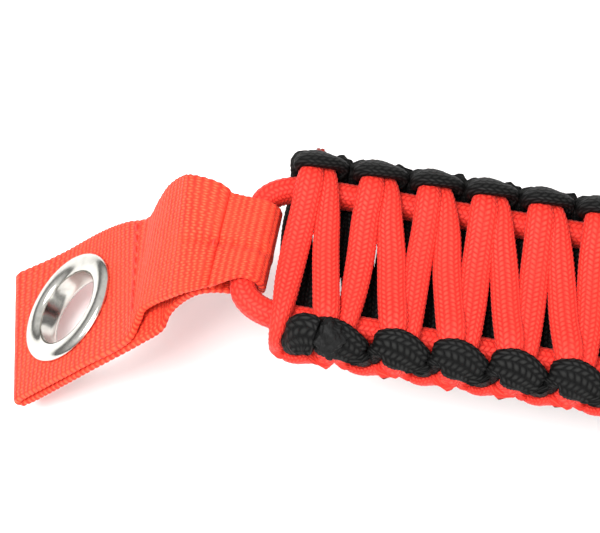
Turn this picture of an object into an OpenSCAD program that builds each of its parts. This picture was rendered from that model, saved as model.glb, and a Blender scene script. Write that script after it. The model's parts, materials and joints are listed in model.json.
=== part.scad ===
/* [Weave] */
// Number of full periods of the weave, two knots each
weave_periods = 28; // [8:1:40]
// Length of one period along the strap
weave_pitch = 8.1; // [7.6:0.1:9.5]
// Distance from the middle of the strap to each core strand
core_offset = 10.5; // [10:0.5:13]
// Diameter of the round cord where nothing presses on it
cord_diameter = 3.8; // [3.6:0.1:4]
// How far the far edge leads the near edge, for each unit of width
knot_skew = -0.18; // [-0.2:0.02:0]

/* [Eyelet tab] */
// Width of the webbing that carries the eyelet
tab_width = 25; // [24:1:32]
// Width of the webbing where it is gathered round the core cord
neck_width = 14; // [12:0.5:15]
// Length of the level neck
neck_length = 7; // [7:0.5:9]
// Length of the shoulder, where the webbing opens out from the neck to its full width
shoulder_length = 12; // [11:0.5:14]
// Length from the neck to the fold at the end of the panel
panel_length = 38.5; // [36:0.5:42]
// Slope of the panel below the level
panel_slope = 43; // [20:1:45]
// How far the panel swings in its own plane towards the near edge
panel_swing = 13; // [0:1:20]
// Thickness of one layer of webbing
webbing_thickness = 1.3; // [1:0.1:1.5]

/* [Eyelet] */
// Radius of the hole through the eyelet
eyelet_bore_radius = 6.1; // [6:0.1:7]
// Outer radius of the eyelet's flange
eyelet_flange_radius = 9.3; // [9:0.1:11]

/* [Windlass] */
// Length of the windlass rod over its caps
rod_length = 112; // [90:1:140]
// Radius of the windlass rod
rod_radius = 4; // [3.5:0.1:4.2]
// Width of the tape that holds the rod
tape_width = 10; // [8:0.5:11]
// Distance from the far cross run of the core cord to the rod
tape_reach = 28; // [27:1:40]

/* [Keeper] */
// Length of the keeper band along the strap
keeper_length = 20; // [16:1:28]
// Place of the keeper, measured from the middle of the weave towards the windlass
keeper_place = 62; // [0:1:80]

/* [Hidden] */
$fn = 64;

cord_radius = cord_diameter / 2;
gap = 0.3;

// A knot's strands stand this far either side of the knot's own level
strand_spread = weave_pitch / 8;
// A newer turn of cord is pulled this far towards the finished end
turn_lag = 1.2;
// Half thickness of a cord pressed flat over the core
pressed_half = 1.1;
// Half width of a cord in its three states: lying across, paired at an edge, and squeezed upright
across_half = 1.85;
paired_half = 1.15;
squeezed_half = 0.9;
// Heights and distances of a cord from the middle plane and from the core strand
over_core = cord_radius + pressed_half;
mid_sag = 0.3;
upright_offset = core_offset + 4.1;
turn_offset = core_offset + 4.0;
turn_height = 3.2;
weave_half_width = turn_offset + cord_radius;
weave_half_height = over_core + pressed_half + 0.5;

knots = 2 * weave_periods;
knot_step = weave_pitch / 2;
weave_length = (knots - 1) * knot_step;
// Clear length between the outermost knots and the core cord's cross runs
end_gap = 7;
bight_x = weave_length / 2 + end_gap;
core_corner = 3;

loop_inner = cord_radius + gap;
loop_outer = loop_inner + webbing_thickness;
panel_half = webbing_thickness;
cap_radius = 5;
collar_radius = 5.5;
rod_loop_inner = rod_radius + 0.08;
rod_loop_outer = rod_loop_inner + webbing_thickness;

// The eyelet's rims in section: an arch of this height over this half width
rim_rise = 1.1;
rim_middle = (eyelet_bore_radius + eyelet_flange_radius) / 2;
rim_half = (eyelet_flange_radius - eyelet_bore_radius) / 2;
rim_seat = panel_half + 0.05;

// The eyelet's middle, measured back from the fold and on from the neck's end
eyelet_to_fold = 10.3;
eyelet_place = panel_length - eyelet_to_fold;

// How far down the slope the fold's lower corner and the eyelet's lower rim reach
fold_reach = panel_length * cos(panel_swing) + tab_width / 2 * sin(panel_swing);
rim_reach = eyelet_place * cos(panel_swing) + rim_middle;
// Height of the strap's middle plane: the fold's corner or the eyelet's lower rim touches the ground
fold_drop = fold_reach * sin(panel_slope)
    + panel_half * sqrt(1 - pow(sin(panel_swing) * sin(panel_slope), 2));
rim_drop = rim_reach * sin(panel_slope) + rim_seat * cos(panel_slope)
    + norm([rim_half * sin(panel_slope), rim_rise * cos(panel_slope)]);
strap_z = max(fold_drop, rim_drop);
// The rod lies on the ground on its collars
tape_drop = strap_z - collar_radius;
tape_slope = asin(tape_drop / tape_reach);

// The origin lies under the middle of the whole object
near_end = bight_x + neck_length + fold_reach * cos(panel_slope)
    + panel_half * sqrt(1 - pow(sin(panel_swing) * cos(panel_slope), 2));
far_end = bight_x + tape_reach * cos(tape_slope) + collar_radius;
origin_shift = (near_end - far_end) / 2;

// ---------- cords ----------

function unit(v) = v / norm(v);
function square_to(v, t) = unit(v - (v * t) * t);

// One ring of an oval tube: half_a along the side direction, half_b square to it
function oval_ring(p, t, side, half_a, half_b, sides) =
    let (a = square_to(side, t), b = cross(t, a))
    [for (i = [0 : sides - 1])
        let (angle = 360 * i / sides) p + half_a * cos(angle) * a + half_b * sin(angle) * b];

// A tube through stations, each [point, side direction, half_a, half_b]
module oval_tube(stations, sides) {
    last = len(stations) - 1;
    points = [for (i = [0 : last])
        let (before = stations[max(i - 1, 0)][0], after = stations[min(i + 1, last)][0])
        each oval_ring(stations[i][0], unit(after - before), stations[i][1],
            stations[i][2], stations[i][3], sides)];
    walls = [for (i = [0 : last - 1], j = [0 : sides - 1])
        let (k = (j + 1) % sides)
        each [[i * sides + j, (i + 1) * sides + j, (i + 1) * sides + k],
            [i * sides + j, (i + 1) * sides + k, i * sides + k]]];
    start = [for (j = [1 : sides - 2]) [0, j, j + 1]];
    end = [for (j = [1 : sides - 2]) [last * sides, last * sides + j + 1, last * sides + j]];
    polyhedron(points = points, faces = concat(walls, start, end));
}

// A point of the weave: progress from the windlass end, across, and up
function weave_point(progress, across, up) =
    [weave_length / 2 - progress + knot_skew * across, across, up];

// The stations of one knot of a working cord. face is 1 for the cord that crosses the front and
// -1 for its twin on the back, which is the same route turned half round the strap's own axis.
// The cord rises at one edge, crosses, sinks at the other edge and turns there on the far face.
function knot_stations(k, face) =
    let (s = (k % 2 == 0 ? 1 : -1) * face, level = k * knot_step, along = [-s, 0, 0])
    [
        [weave_point(level + strand_spread, s * upright_offset, 0),
            along, squeezed_half, cord_radius - gap],
        [weave_point(level + strand_spread, s * core_offset, face * over_core),
            along, paired_half, pressed_half],
        [weave_point(level, 0, face * (over_core - mid_sag)), along, across_half, pressed_half],
        [weave_point(level - strand_spread, -s * core_offset, face * over_core),
            along, paired_half, pressed_half],
        [weave_point(level - strand_spread, -s * upright_offset, 0),
            along, squeezed_half, cord_radius - gap],
        [weave_point(level + knot_step / 2 + turn_lag / 2, -s * turn_offset, -face * turn_height),
            [0, 0, s * face], cord_radius - gap, pressed_half]
    ];

module working_cord(face) {
    first = weave_point(-knot_step / 2, face * turn_offset, -face * turn_height);
    oval_tube([[first, [0, 0, -1], cord_radius - gap, pressed_half],
        for (k = [0 : knots - 1]) each knot_stations(k, face)], 8);
}

// Rounded lumps where a working cord's two ends were melted and pressed down
module sealed_ends(face) {
    for (progress = [-knot_step / 2, weave_length + knot_step / 2 + turn_lag / 2])
        translate(weave_point(progress, face * turn_offset, -face * turn_height))
            sphere(r = cord_radius + gap / 3, $fn = 48);
}

module weave_front_cord() { color("crimson") placed() working_cord(1); }
module weave_back_cord() { color("black") placed() working_cord(-1); }
module front_cord_sealed_ends() { color("sienna") placed() sealed_ends(1); }
module back_cord_sealed_ends() { color("black") placed() sealed_ends(-1); }

// The core runs down one edge, across under the windlass tape, back along the other edge,
// across through the eyelet tab and back to where it began, so that both ends meet in the weave
function corner(x, y, from) = [for (i = [0 : 3])
    let (angle = from + 30 * i)
    [x + core_corner * cos(angle), y + core_corner * sin(angle), 0]];

module core_cord() {
    half_x = bight_x - core_corner;
    half_y = core_offset - core_corner;
    route = concat([[gap, core_offset, 0]], [[half_x / 2, core_offset, 0]],
        [for (i = [0 : 3]) corner(half_x, half_y, 0)[3 - i]],
        [for (i = [0 : 3]) corner(half_x, -half_y, 270)[3 - i]],
        [[half_x / 2, -core_offset, 0], [-half_x / 2, -core_offset, 0]],
        [for (i = [0 : 3]) corner(-half_x, -half_y, 180)[3 - i]],
        [for (i = [0 : 3]) corner(-half_x, half_y, 90)[3 - i]],
        [[-half_x / 2, core_offset, 0], [-gap, core_offset, 0]]);
    color("crimson") placed()
        oval_tube([for (p = route) [p, [0, 0, 1], cord_radius, cord_radius]], 12);
}

// ---------- eyelet tab ----------

// Puts the strap's own frame, with its middle at the origin, in its place above the ground
module placed() {
    translate([origin_shift, 0, strap_z]) children();
}

module at_eyelet_tab() {
    placed() translate([-bight_x, 0, 0]) children();
}

// The plane below the neck, sloping down along -X from the neck's end at the origin
module on_slope() {
    at_eyelet_tab() translate([-neck_length, 0, 0]) rotate([0, -panel_slope, 0]) children();
}

// The panel's own frame: it lies in the slope and runs along -X
module on_panel() {
    on_slope() rotate([0, 0, panel_swing]) children();
}

module eyelet_axis() {
    on_panel() translate([-eyelet_place, 0, 0]) children();
}

// A place in the slope's plane, given in the panel's own directions
function on_swing(x, y) = [x * cos(panel_swing) - y * sin(panel_swing),
    x * sin(panel_swing) + y * cos(panel_swing)];

// The gathered webbing opens out from the neck to the panel's full width, under a puffed dome
dome_radius = 4.4;
dome_place = [-3, neck_width / 2 - 2.5, 0];
shoulder_lap = 0.5;
// The gathered cloth is a little thicker than the flat panel, and rounded where it bends
shoulder_half = panel_half + 0.15;
bend_half = panel_half + 0.08;

module shoulder_outline() {
    polygon([
        [shoulder_lap, neck_width / 2 - gap],
        [shoulder_lap, -neck_width / 2 + gap],
        on_swing(-shoulder_length - shoulder_lap, -tab_width / 2),
        on_swing(-shoulder_length - shoulder_lap, tab_width / 2)
    ]);
}

module eyelet_tab_webbing() {
    color("orangered") difference() {
        union() {
            at_eyelet_tab() rotate([90, 0, 0]) linear_extrude(neck_width, center = true) {
                difference() {
                    circle(r = loop_outer);
                    circle(r = loop_inner);
                }
                difference() {
                    translate([-neck_length, -panel_half]) square([neck_length, 2 * panel_half]);
                    circle(r = loop_inner);
                }
                translate([-neck_length, 0]) circle(r = bend_half);
            }
            on_panel() rotate([90, 0, 0]) linear_extrude(tab_width, center = true) {
                translate([-panel_length, -panel_half])
                    square([panel_length - shoulder_length, 2 * panel_half]);
                translate([-panel_length, 0]) circle(r = panel_half);
            }
            on_slope() linear_extrude(2 * shoulder_half, center = true) shoulder_outline();
            on_slope() translate(dome_place) sphere(r = dome_radius);
        }
        eyelet_axis() cylinder(r = barrel_outer, h = 20, center = true);
    }
}

// One straight row of stitches: short thread bars lying on both faces of the webbing
stitch_length = 2.2;
stitch_radius = 0.3;

module stitch_row(count, step, face_height) {
    for (i = [0 : count - 1], side = [-1, 1])
        translate([0, (i - (count - 1) / 2) * step, side * face_height]) rotate([90, 0, 0])
            cylinder(r = stitch_radius, h = stitch_length, center = true, $fn = 16);
}

module eyelet_tab_cross_stitching() {
    color("firebrick") at_eyelet_tab() translate([-(loop_outer + neck_length) / 2, 0, 0])
        stitch_row(4, 2.7, panel_half + stitch_radius / 2);
}

module eyelet_tab_edge_stitching() {
    color("firebrick") on_panel() translate([-shoulder_length - 1.5, 0, 0])
        stitch_row(8, 2.7, panel_half + stitch_radius / 2);
}

// ---------- eyelet ----------

barrel_outer = eyelet_bore_radius + 0.5;

// A domed rim seen in section: an arch from the bore to the flange's edge
module rim_section() {
    polygon([for (i = [0 : 8])
        let (angle = 22.5 * i)
        [rim_middle + rim_half * cos(angle), rim_seat + rim_rise * sin(angle)]]);
}

module eyelet_flange() {
    color("silver") eyelet_axis() rotate_extrude() {
        rim_section();
        translate([eyelet_bore_radius, -panel_half - 0.4])
            square([barrel_outer - eyelet_bore_radius - 0.05, 2 * panel_half + 0.5]);
    }
}

module eyelet_washer() {
    color("silver") eyelet_axis() mirror([0, 0, 1]) rotate_extrude() difference() {
        rim_section();
        translate([0, 0]) square([barrel_outer, 10]);
    }
}

// ---------- toggle tape and windlass ----------

module at_far_bight() {
    placed() translate([bight_x, 0, 0]) rotate([0, tape_slope, 0]) children();
}

module toggle_tape() {
    color("orangered") at_far_bight() rotate([90, 0, 0]) linear_extrude(tape_width, center = true)
        difference() {
            union() {
                circle(r = loop_outer);
                translate([tape_reach, 0]) circle(r = rod_loop_outer);
                translate([0, -webbing_thickness]) square([tape_reach, 2 * webbing_thickness]);
            }
            circle(r = loop_inner);
            translate([tape_reach, 0]) circle(r = rod_loop_inner);
        }
}

module toggle_tape_stitching() {
    color("firebrick") at_far_bight() for (x = [7, 10, 13, 16])
        translate([x, 0, 0]) stitch_row(3, 2.7, webbing_thickness + stitch_radius / 2);
}

module at_rod() {
    at_far_bight() translate([tape_reach, 0, 0]) rotate([90, 0, 0]) children();
}

cap_length = 9;
cap_socket = 6;
collar_length = 4;
collar_place = tape_width / 2 + 0.4;
rod_body = rod_length - 2 * (cap_length - cap_socket);

module windlass_rod() {
    color("dimgray") at_rod() cylinder(r = rod_radius, h = rod_body, center = true);
}

// A cap, its mouth towards the rod's middle, made to slide over the rod's end
module rod_cap(side) {
    color("black") at_rod() mirror([0, 0, side < 0 ? 1 : 0]) difference() {
        union() {
            translate([0, 0, rod_length / 2 - cap_length]) cylinder(r = cap_radius, h = cap_length - 2);
            translate([0, 0, rod_length / 2 - 2]) cylinder(r1 = cap_radius, r2 = cap_radius - 1.5, h = 2);
        }
        translate([0, 0, rod_length / 2 - cap_length - 1])
            cylinder(r = rod_radius + 0.02, h = cap_socket + 1);
    }
}

module rod_collar(side) {
    color("black") at_rod() translate([0, 0, side * (collar_place + collar_length / 2)])
        difference() {
            cylinder(r = collar_radius, h = collar_length, center = true);
            cylinder(r = rod_radius + 0.02, h = collar_length + 1, center = true);
        }
}

module rod_cap_left() { rod_cap(1); }
module rod_cap_right() { rod_cap(-1); }
module rod_collar_left() { rod_collar(1); }
module rod_collar_right() { rod_collar(-1); }

// ---------- keeper ----------

keeper_inner_y = weave_half_width + 0.5;
keeper_inner_z = weave_half_height + 1;
keeper_thickness = 1.5;
keeper_corner = 3;

// A rectangle with round corners, given by its half sides
module round_block(half_y, half_z, corner) {
    square([2 * half_y, 2 * (half_z - corner)], center = true);
    square([2 * (half_y - corner), 2 * half_z], center = true);
    for (y = [-1, 1], z = [-1, 1])
        translate([y * (half_y - corner), z * (half_z - corner)]) circle(r = corner);
}

module at_keeper() {
    placed() translate([keeper_place, 0, 0]) children();
}

module keeper_band() {
    color("orangered") at_keeper() rotate([90, 0, 90]) linear_extrude(keeper_length, center = true)
        difference() {
            round_block(keeper_inner_y + keeper_thickness, keeper_inner_z + keeper_thickness,
                keeper_corner + keeper_thickness);
            round_block(keeper_inner_y, keeper_inner_z, keeper_corner);
        }
}

module keeper_stitching() {
    color("firebrick") at_keeper() translate([0, 0, -keeper_inner_z - keeper_thickness])
        for (x = [-keeper_length / 2 + 2.5, keeper_length / 2 - 2.5], i = [-3 : 3])
            translate([x, i * 3, 0]) rotate([90, 0, 0])
                cylinder(r = stitch_radius, h = stitch_length, center = true, $fn = 16);
}

wire_radius = 1.25;
ring_inner_x = 12;
ring_inner_y = 15;
tunnel_inner = wire_radius + 0.08;
tunnel_thickness = 1;
tunnel_outer = tunnel_inner + tunnel_thickness;
ring_bar_z = keeper_inner_z + keeper_thickness + tunnel_outer;
ring_bar_x = keeper_length / 2 - tunnel_outer - 2.6;
ring_half_y = ring_inner_y / 2 + wire_radius;
ring_reach = ring_inner_x + 2 * wire_radius;

module at_ring_bar() {
    at_keeper() translate([ring_bar_x, 0, ring_bar_z]) children();
}

tunnel_width = ring_inner_y - 4;

module keeper_ring_tunnel() {
    color("orangered") at_ring_bar() rotate([90, 0, 0])
        linear_extrude(tunnel_width, center = true) difference() {
            union() {
                circle(r = tunnel_outer);
                translate([0, -tunnel_outer]) square([tunnel_outer + 2.6, tunnel_thickness]);
                translate([-tunnel_outer, -tunnel_outer]) square([2 * tunnel_outer, tunnel_thickness]);
            }
            circle(r = tunnel_inner);
        }
}

module tunnel_stitching() {
    color("firebrick") at_ring_bar()
        translate([tunnel_outer + 1.2, 0, -tunnel_outer + tunnel_thickness]) for (i = [-2 : 2])
            translate([0, i * 2.4, 0]) rotate([90, 0, 0])
                cylinder(r = stitch_radius, h = stitch_length - 0.4, center = true, $fn = 16);
}

// A rectangular ring of round wire, its hinge bar on the Y axis and the rest towards -X
ring_corner = 3;

module keeper_ring() {
    long_side = 2 * (ring_half_y - ring_corner);
    short_side = 2 * (ring_reach / 2 - ring_corner);
    color("silver") at_ring_bar() translate([-ring_reach / 2, 0, 0])
        for (end = [0, 180]) rotate([0, 0, end]) {
            translate([ring_reach / 2, 0, 0]) rotate([90, 0, 0])
                cylinder(r = wire_radius, h = long_side, center = true);
            translate([0, ring_half_y, 0]) rotate([0, 90, 0])
                cylinder(r = wire_radius, h = short_side, center = true);
            translate([short_side / 2, long_side / 2, 0]) ring_bend();
            translate([-short_side / 2, long_side / 2, 0]) rotate([0, 0, 90]) ring_bend();
        }
}

module ring_bend() {
    rotate_extrude(angle = 90) translate([ring_corner, 0]) circle(r = wire_radius);
}

weave_front_cord();
weave_back_cord();
core_cord();
front_cord_sealed_ends();
back_cord_sealed_ends();
eyelet_tab_webbing();
eyelet_tab_cross_stitching();
eyelet_tab_edge_stitching();
eyelet_flange();
eyelet_washer();
toggle_tape();
toggle_tape_stitching();
windlass_rod();
rod_cap_left();
rod_cap_right();
rod_collar_left();
rod_collar_right();
keeper_band();
keeper_stitching();
keeper_ring_tunnel();
tunnel_stitching();
keeper_ring();
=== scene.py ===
# %% [markdown]
# # A woven cord tourniquet
# The strap is two braided nylon cords, one red and one black, knotted round a red core cord. A webbing
# tab with a nickel eyelet hangs on one end, and a windlass rod on a tape hangs on the other. The packed
# model gives every size and place, and this script gives the surfaces: the braid of the cords, the
# ribs of the webbing, the thread, and the metal.

# %% Load the frame
import json
import math

import bmesh
import bpy
import numpy as np
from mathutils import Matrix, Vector


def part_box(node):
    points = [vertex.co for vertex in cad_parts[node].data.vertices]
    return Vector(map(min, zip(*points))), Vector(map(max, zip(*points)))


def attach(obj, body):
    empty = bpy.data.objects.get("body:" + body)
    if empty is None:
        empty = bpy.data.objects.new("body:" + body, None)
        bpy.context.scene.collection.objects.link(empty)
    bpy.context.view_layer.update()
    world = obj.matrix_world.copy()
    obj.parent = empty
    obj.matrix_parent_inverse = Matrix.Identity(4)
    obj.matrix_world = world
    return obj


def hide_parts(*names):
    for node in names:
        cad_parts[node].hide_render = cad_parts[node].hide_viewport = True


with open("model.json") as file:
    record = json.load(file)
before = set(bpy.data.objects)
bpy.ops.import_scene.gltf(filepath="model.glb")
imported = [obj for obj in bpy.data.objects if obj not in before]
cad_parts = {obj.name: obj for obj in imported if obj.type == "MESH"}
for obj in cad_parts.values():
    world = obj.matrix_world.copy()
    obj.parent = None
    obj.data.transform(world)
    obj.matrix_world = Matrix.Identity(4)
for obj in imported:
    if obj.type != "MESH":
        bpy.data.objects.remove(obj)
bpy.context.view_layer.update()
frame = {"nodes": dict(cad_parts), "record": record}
MM = 0.001
rng = np.random.default_rng(7)

# %% [markdown]
# ## Sizes taken from the frame
# The core cord's box tells where the strap lies: its two long sides are the two core strands, and its
# ends are the cross runs that hold the tabs. The joints in the record tell where each tab swings.

# %% Strap sizes
CORD_RADIUS = 1.9 * MM
WEAVE_PITCH = 8.1 * MM
KNOT_STEP = WEAVE_PITCH / 2
KNOTS = 56
KNOT_SKEW = -0.11

core_low, core_high = (np.array(corner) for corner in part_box("core_cord"))
strap_middle = (core_low + core_high) / 2
CORE_OFFSET = (core_high[1] - core_low[1]) / 2 - CORD_RADIUS
BIGHT_X = (core_high[0] - core_low[0]) / 2 - CORD_RADIUS
WEAVE_LENGTH = (KNOTS - 1) * KNOT_STEP
joints = {j["name"]: j for j in frame["record"]["behaviour"]["joints"]}
near_bight = np.array(joints["eyelet_tab_swing"]["pos_m"])
far_bight = np.array(joints["toggle_tab_swing"]["pos_m"])
print("core strands at", round(CORE_OFFSET / MM, 2), "mm; cross runs at", round(BIGHT_X / MM, 2), "mm")

# %% [markdown]
# ## Camera, light and floor
# A long lens keeps the view almost parallel, as in a close product shot. The light is a white studio:
# a bright surround, one large soft lamp from the upper left and a weaker one from the right.

# %% Camera
VIEW_TURN = math.radians(10.8)
VIEW_RISE = math.radians(61.5)
FRAME_WIDTH = 85.7 * MM
LENS = 95

sight = np.array([math.sin(VIEW_TURN) * math.cos(VIEW_RISE),
                  -math.cos(VIEW_TURN) * math.cos(VIEW_RISE), math.sin(VIEW_RISE)])
target = near_bight + np.array([7.4, -2.1, 0.0]) * MM
camera_data = bpy.data.cameras.new("camera")
camera_data.lens = LENS
camera_data.clip_start = 0.01
camera = bpy.data.objects.new("camera", camera_data)
bpy.context.collection.objects.link(camera)
camera.location = Vector(target + sight * FRAME_WIDTH * LENS / camera_data.sensor_width)
camera.rotation_euler = Vector(sight).to_track_quat("Z", "Y").to_euler()
bpy.context.scene.camera = camera
print("camera is", round(FRAME_WIDTH * LENS / camera_data.sensor_width / MM), "mm away")


# %% Light and floor
def soft_lamp(name, place, size, watts):
    """A square lamp at place that looks at the strap's eyelet end."""
    data = bpy.data.lights.new(name, "AREA")
    data.shape = "SQUARE"
    data.size = size
    data.energy = watts
    lamp = bpy.data.objects.new(name, data)
    bpy.context.collection.objects.link(lamp)
    lamp.location = place
    lamp.rotation_euler = (Vector(place) - Vector(target)).to_track_quat("Z", "Y").to_euler()


soft_lamp("key_lamp", (-0.35, -0.25, 0.75), 0.45, 9)
soft_lamp("fill_lamp", (0.45, -0.55, 0.5), 0.6, 3.5)
world = bpy.data.worlds.new("studio")
world.use_nodes = True
bpy.context.scene.world = world


def shade_surround(tree):
    """A tent that is white overhead and grey near the horizon, so that metal has something to mirror."""
    direction = tree.nodes.new("ShaderNodeTexCoord")
    parts = tree.nodes.new("ShaderNodeSeparateXYZ")
    rise = tree.nodes.new("ShaderNodeMapRange")
    rise.interpolation_type = "SMOOTHSTEP"
    for socket, value in (("From Min", 0.02), ("From Max", 0.55), ("To Min", 0.10), ("To Max", 0.95)):
        rise.inputs[socket].default_value = value
    tree.links.new(direction.outputs["Generated"], parts.inputs[0])
    tree.links.new(parts.outputs["Z"], rise.inputs["Value"])
    tree.links.new(rise.outputs[0], tree.nodes["Background"].inputs["Strength"])
    tree.nodes["Background"].inputs["Color"].default_value = (1, 1, 1, 1)


shade_surround(world.node_tree)
bpy.context.scene.view_settings.view_transform = "Standard"

FLOOR_REACH = 1.6
FLOOR_HEIGHT = -0.4 * MM
floor_data = bpy.data.meshes.new("studio_floor")
floor_data.from_pydata([(x * FLOOR_REACH, y * FLOOR_REACH, FLOOR_HEIGHT) for x, y in
                        ((-1, -1), (1, -1), (1, 1), (-1, 1))], [], [(0, 1, 2, 3)])
floor = bpy.data.objects.new("studio_floor", floor_data)
bpy.context.collection.objects.link(floor)
paper = bpy.data.materials.new("pale_paper")
paper.use_nodes = True
paper_shader = paper.node_tree.nodes["Principled BSDF"]
paper_shader.inputs["Base Color"].default_value = (0.93, 0.925, 0.92, 1)
paper_shader.inputs["Roughness"].default_value = 0.8
floor_data.materials.append(paper)
print("floor lies", round(-FLOOR_HEIGHT / MM, 1), "mm below the strap's ground")


# %% [markdown]
# ## Shader groups
# Two effects are shared. A braided sheath is rows of short slanted yarns, each row leaning the other
# way and set half a step along. Webbing is a plain weave of thick cross ribs under fine warp yarns.
# Each group turns the surface's own length and width coordinates into a height and a shade.

# %% Node helpers
class Wiring:
    """Adds nodes to one tree and links values or sockets into them."""

    def __init__(self, tree):
        self.tree = tree

    def node(self, kind, **settings):
        made = self.tree.nodes.new(kind)
        for key, value in settings.items():
            setattr(made, key, value)
        return made

    def plug(self, socket, value):
        if isinstance(value, bpy.types.NodeSocket):
            self.tree.links.new(value, socket)
        else:
            socket.default_value = value

    def math(self, operation, a, b=0.0, c=0.0, clamp=False):
        made = self.node("ShaderNodeMath", operation=operation, use_clamp=clamp)
        for socket, value in zip(made.inputs, (a, b, c)):
            self.plug(socket, value)
        return made.outputs[0]

    def noise(self, vector, scale, detail=2.0, roughness=0.5):
        made = self.node("ShaderNodeTexNoise")
        self.plug(made.inputs["Vector"], vector)
        made.inputs["Scale"].default_value = scale
        made.inputs["Detail"].default_value = detail
        made.inputs["Roughness"].default_value = roughness
        return made.outputs["Fac"]

    def mix(self, share, a, b):
        made = self.node("ShaderNodeMix", data_type="RGBA")
        self.plug(made.inputs[0], share)
        self.plug(made.inputs[6], a)
        self.plug(made.inputs[7], b)
        return made.outputs[2]

    def scale_range(self, value, low, high, to_low, to_high):
        made = self.node("ShaderNodeMapRange")
        for socket, setting in zip(made.inputs, (value, low, high, to_low, to_high)):
            self.plug(socket, setting)
        return made.outputs[0]


def new_group(name, takes, gives):
    """A shader group with float or vector sockets."""
    group = bpy.data.node_groups.new(name, "ShaderNodeTree")
    for socket, kind in takes:
        group.interface.new_socket(socket, in_out="INPUT", socket_type=kind)
    for socket in gives:
        group.interface.new_socket(socket, in_out="OUTPUT", socket_type="NodeSocketFloat")
    wiring = Wiring(group)
    return group, wiring, wiring.node("NodeGroupInput"), wiring.node("NodeGroupOutput")


FLOAT, VECTOR = "NodeSocketFloat", "NodeSocketVector"


# %% Braid group
def make_braid_group():
    """Yarn floats of a braided sheath. U counts floats along the cord, V counts columns round it."""
    group, w, given, result = new_group(
        "braid", [("Vector", VECTOR), ("Slant", FLOAT)], ["Height", "Shade", "Filament"])
    split = w.node("ShaderNodeSeparateXYZ")
    w.plug(split.inputs[0], given.outputs["Vector"])
    u, v = split.outputs[0], split.outputs[1]
    column = w.math("FLOOR", v)
    odd = w.math("MODULO", w.math("ABSOLUTE", column), 2.0)
    lean = w.math("MULTIPLY_ADD", odd, 2.0, -1.0)
    across = w.math("SUBTRACT", w.math("FRACT", v), 0.5)
    shifted = w.math("MULTIPLY_ADD", odd, 0.5, u)
    slanted = w.math("MULTIPLY", w.math("MULTIPLY", across, lean), given.outputs["Slant"])
    along = w.math("SUBTRACT", w.math("FRACT", w.math("ADD", shifted, slanted)), 0.5)
    side = w.math("MULTIPLY", w.math("MULTIPLY", across, across), 4.0)
    end = w.math("POWER", w.math("MULTIPLY", w.math("ABSOLUTE", along), 2.0), 2.4)
    dome = w.math("MULTIPLY", w.math("SUBTRACT", 1.0, w.math("MULTIPLY", side, 0.85)),
                  w.math("SUBTRACT", 1.0, end), clamp=True)
    height = w.math("POWER", dome, 0.6)
    fine = w.math("MULTIPLY_ADD", along, 1.1, w.math("MULTIPLY", across, w.math("MULTIPLY", lean, -1.0)))
    thread = w.math("SINE", w.math("MULTIPLY", fine, 34.0))
    w.plug(result.inputs["Height"], height)
    w.plug(result.inputs["Shade"], dome)
    w.plug(result.inputs["Filament"], thread)
    return group


braid_group = make_braid_group()


# %% Webbing group
def make_webbing_group():
    """Ribs across a strap under warp yarns. U counts ribs along it, V counts warp yarns across it."""
    group, w, given, result = new_group("webbing", [("Vector", VECTOR)], ["Height", "Shade"])
    split = w.node("ShaderNodeSeparateXYZ")
    w.plug(split.inputs[0], given.outputs["Vector"])
    u, v = split.outputs[0], split.outputs[1]
    wobble = w.math("MULTIPLY_ADD", w.noise(given.outputs["Vector"], 0.9, 1.0), 0.5, -0.25)
    u = w.math("ADD", u, wobble)
    column = w.math("FLOOR", v)
    odd = w.math("MODULO", w.math("ABSOLUTE", column), 2.0)
    across = w.math("SUBTRACT", w.math("FRACT", v), 0.5)
    along = w.math("SUBTRACT", w.math("FRACT", w.math("MULTIPLY_ADD", odd, 0.14, u)), 0.5)
    rib = w.math("COSINE", w.math("MULTIPLY", along, math.tau))
    rib = w.math("MULTIPLY_ADD", rib, 0.5, 0.5)
    yarn = w.math("SUBTRACT", 1.0, w.math("MULTIPLY", w.math("MULTIPLY", across, across), 3.6), clamp=True)
    height = w.math("MULTIPLY", w.math("POWER", rib, 0.7), w.math("POWER", yarn, 0.5))
    w.plug(result.inputs["Height"], height)
    w.plug(result.inputs["Shade"], w.math("MULTIPLY", rib, yarn))
    return group


webbing_group = make_webbing_group()
print("shader groups:", braid_group.name, webbing_group.name)


# %% Cloth materials
WEAVE_MAP = "weave"


def start_material(name):
    """A new material, its wiring and its shader."""
    material = bpy.data.materials.new(name)
    material.use_nodes = True
    return material, Wiring(material.node_tree), material.node_tree.nodes["Principled BSDF"]


def weave_coordinates(w):
    made = w.node("ShaderNodeUVMap")
    made.uv_map = WEAVE_MAP
    return made.outputs[0]


def place_group(w, group, **values):
    made = w.node("ShaderNodeGroup")
    made.node_tree = group
    for key, value in values.items():
        w.plug(made.inputs[key], value)
    return made


def add_bump(w, shader, height, strength, distance):
    bump = w.node("ShaderNodeBump")
    bump.inputs["Strength"].default_value = strength
    bump.inputs["Distance"].default_value = distance
    w.plug(bump.inputs["Height"], height)
    w.tree.links.new(bump.outputs[0], shader.inputs["Normal"])


YARN_SLANT = 0.55
YARN_DEPTH = 0.07 * MM
RIB_DEPTH = 0.12 * MM


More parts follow.
